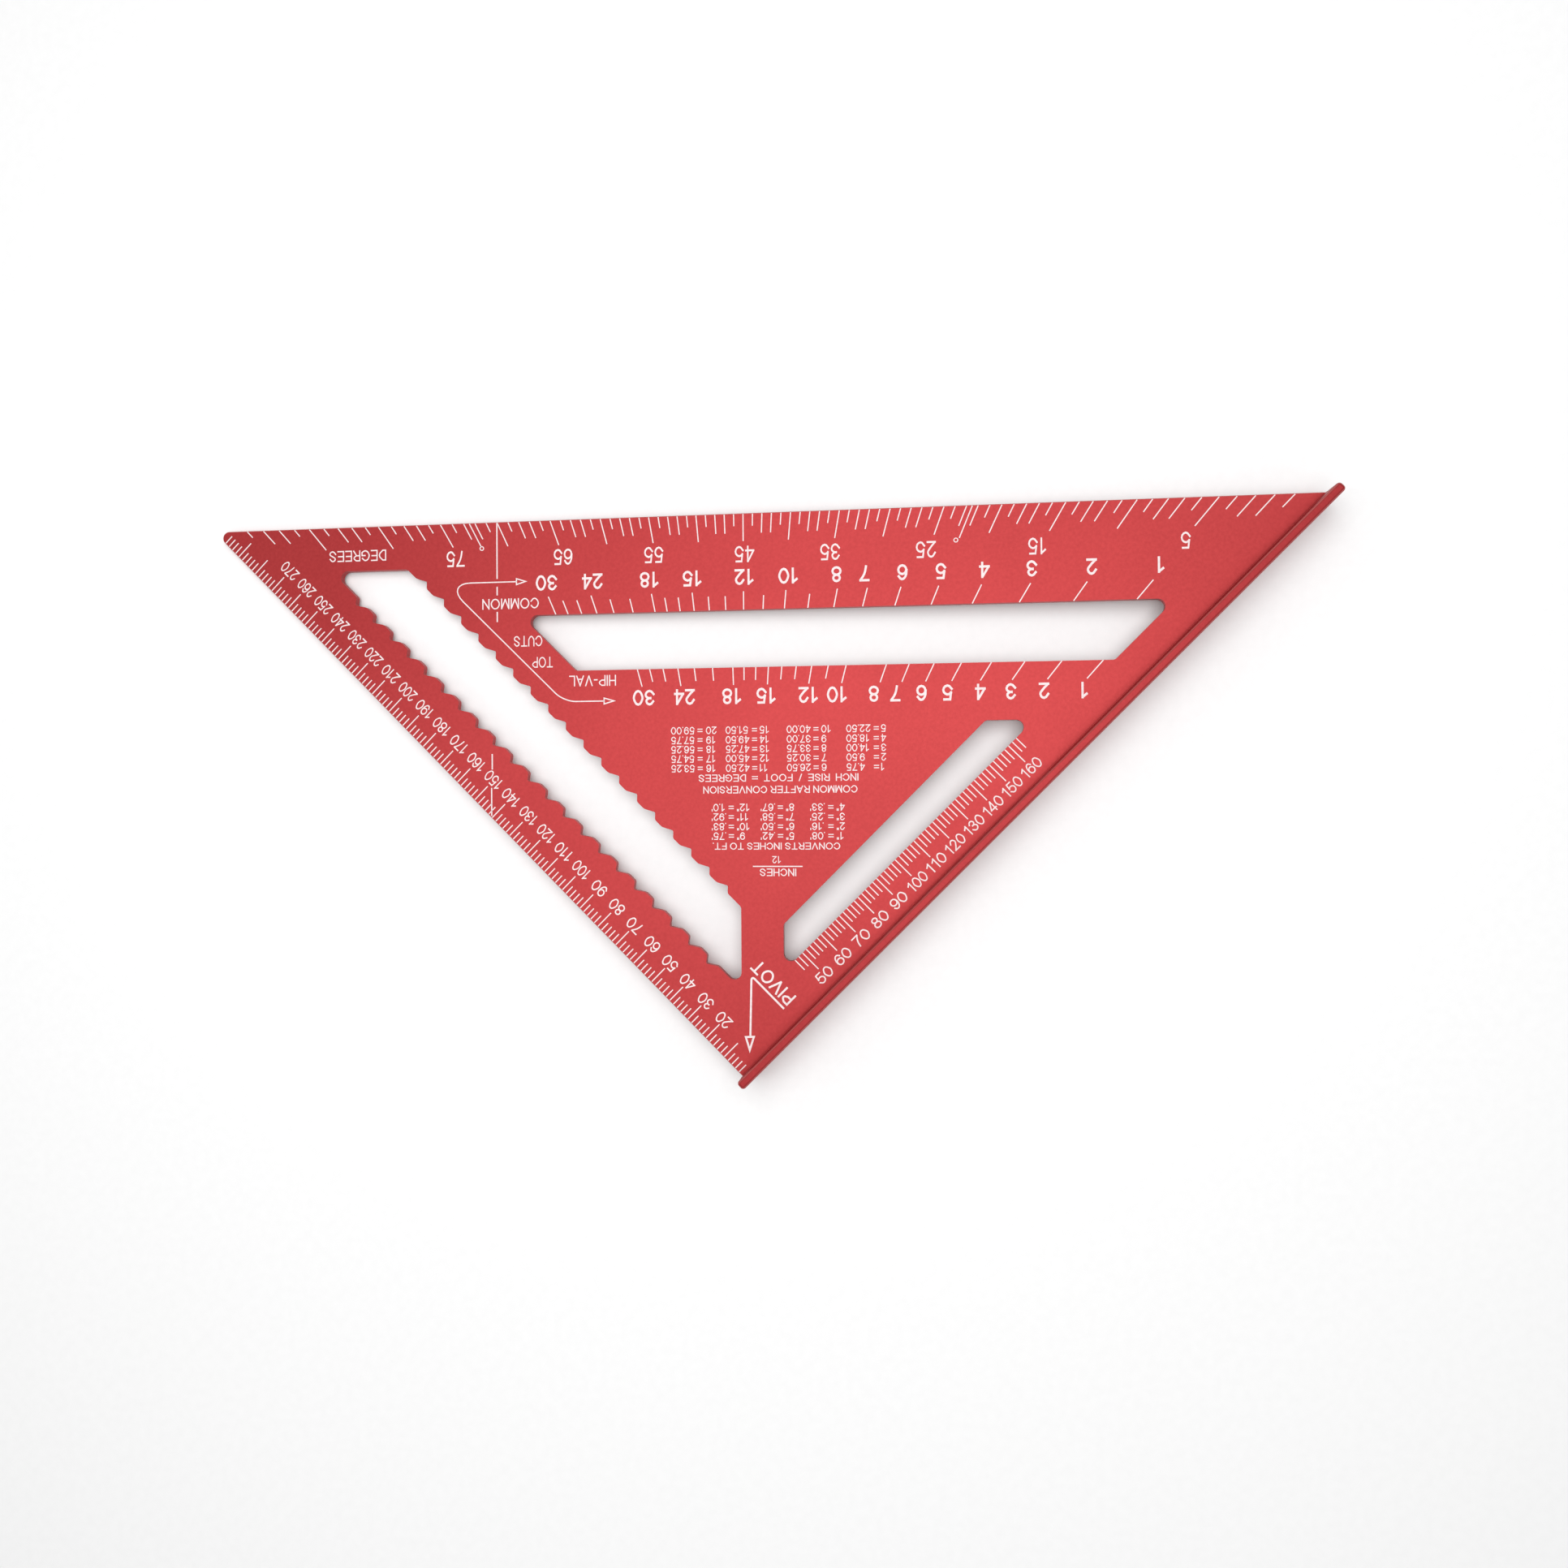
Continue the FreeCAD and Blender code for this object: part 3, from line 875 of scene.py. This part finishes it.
# %% Inches to feet
FOOT_SQUEEZE = 0.97
FOOT_ROWS = (91.67, 95.28, 98.96, 102.6)
FOOT_COLUMNS = ((-36.9, -35.7, -26.8), (-17.6, -16.4, -7.8), (1.4, 2.6, 11.2))
FEET = (".08'", ".16'", ".25'", ".33'", ".42'", ".50'", ".58'", ".67'", ".75'", ".83'", ".92'", "1.0'")
FOOT_HEADINGS = {"INCHES": (-14.3, 77.8, 14.0, 2.9), "12": (-13.8, 82.6, 3.3, 2.75),
                 "CONVERTS INCHES TO FT.": (-13.65, 87.8, 49.0, 2.65)}
FRACTION_LINE = (-23.75, -4.65)
FRACTION_OUT = 80.07

foot_marks = headings(FOOT_HEADINGS)
foot_marks.append(tick(*[turned(across, FRACTION_OUT) for across in FRACTION_LINE]))
foot_marks += table_rows(FEET, '%d"', FOOT_ROWS, FOOT_COLUMNS, FOOT_SQUEEZE)
finish_marks("foot_table", foot_marks)

# %% Rise to degrees
RISE_SQUEEZE = 0.94
RISE_ROWS = (117.7, 121.4, 125.0, 128.6, 132.3)
RISE_COLUMNS = ((-53.9, -53.1, -40.8), (-31.3, -30.2, -18.05), (-7.6, -6.6, 5.55), (13.2, 14.6, 26.9))
RISE_DEGREES = ("4.75", "9.50", "14.00", "18.50", "22.50", "26.50", "30.25", "33.75", "37.00", "40.00",
                "42.50", "45.00", "47.25", "49.50", "51.50", "53.25", "54.75", "56.25", "57.75", "59.00")
RISE_HEADINGS = {"COMMON RAFTER CONVERSION": (-15.2, 109.4, 59.3, 2.8),
                 "INCH  RISE  /  FOOT  =  DEGREES": (-14.5, 113.9, 61.5, 2.8)}

rise_marks = headings(RISE_HEADINGS)
rise_marks += table_rows(RISE_DEGREES, "%d", RISE_ROWS, RISE_COLUMNS, RISE_SQUEEZE)
finish_marks("rise_table", rise_marks)

# %% [markdown]
# ## The pivot mark
# A word and a bent arrow show the corner that the tool is turned about. The arrow's line runs under
# the word, bends, and goes to the corner, where it ends in an open head.

# %% The pivot mark
PIVOT_WORD_PLACE = (33.95, 16.8)
PIVOT_HEIGHT = 5.3
PIVOT_WEIGHT = 0.14
PIVOT_LENGTH = 20.0
PIVOT_LINE_WIDTH = 0.75
UNDERLINE_START, UNDERLINE_END, ARROW_NECK = (29.8, 6.8), (29.8, 24.4), (13.2, 8.6)
ARROW_TIP, ARROW_LEFT, ARROW_RIGHT = (9.2, 5.0), (11.6, 9.5), (13.9, 7.4)
BEND_CUT_BACK = {1: 1.8}

pivot_marks = word("PIVOT", PIVOT_WORD_PLACE, ALONG_LEG, PIVOT_HEIGHT, PIVOT_WEIGHT, length=PIVOT_LENGTH)
pivot_line = draw("pivot_line", [bar(UNDERLINE_START, UNDERLINE_END, ARROW_NECK)], PIVOT_LINE_WIDTH,
                  rounded=BEND_CUT_BACK)
pivot_head = draw("pivot_head", [polygon(ARROW_TIP, ARROW_LEFT, ARROW_RIGHT)], PIVOT_LINE_WIDTH)
for pattern in (pivot_line, pivot_head):
    pivot_marks.append(place_copy(pattern, 0, 0, ALONG_FENCE, MM, MM))
    bpy.data.objects.remove(pattern)
finish_marks("pivot_mark", pivot_marks)

# %% [markdown]
# ## Clear the patterns
# The patterns that are left have done their work. They were never part of the tool, so they are
# deleted.

# %% Clear the patterns
for pattern in (tick_pattern, ring_pattern, *patterns.values()):
    bpy.data.objects.remove(pattern)
print("%d marks on the blade" % mark_count)

# %% [markdown]
# ## Light
# A wide soft box hangs over the tool, so the satin blade is brightest in its middle and falls off
# towards its tips. A second one fills from the side. The rest of the room is pale. Here places and
# sizes are in metres, and powers in watts.

# %% Lights
TOOL_MIDDLE = Vector((0.1, 0.1, 0))
ROOM_STRENGTH = 0.45


def soft_box(name, place, size, power):
    """A square area light that looks at the middle of the tool."""
    bpy.ops.object.select_all(action="DESELECT")
    bpy.ops.object.light_add(type="AREA", location=place)
    light = bpy.context.object
    light.name = name
    light.data.size = size
    light.data.energy = power
    toward = TOOL_MIDDLE - Vector(place)
    light.rotation_euler = toward.to_track_quat("-Z", "Y").to_euler()


soft_box("over_light", place=(0.17, 0.13, 0.9), size=0.9, power=7.4)
soft_box("side_light", place=(-1.3, 1.2, 1.0), size=1.0, power=2)
room = bpy.data.worlds.new("room")
room.use_nodes = True
room.node_tree.nodes["Background"].inputs["Color"].default_value = (1, 1, 1, 1)
room.node_tree.nodes["Background"].inputs["Strength"].default_value = ROOM_STRENGTH
bpy.context.scene.world = room
bpy.context.scene.view_settings.view_transform = "Standard"
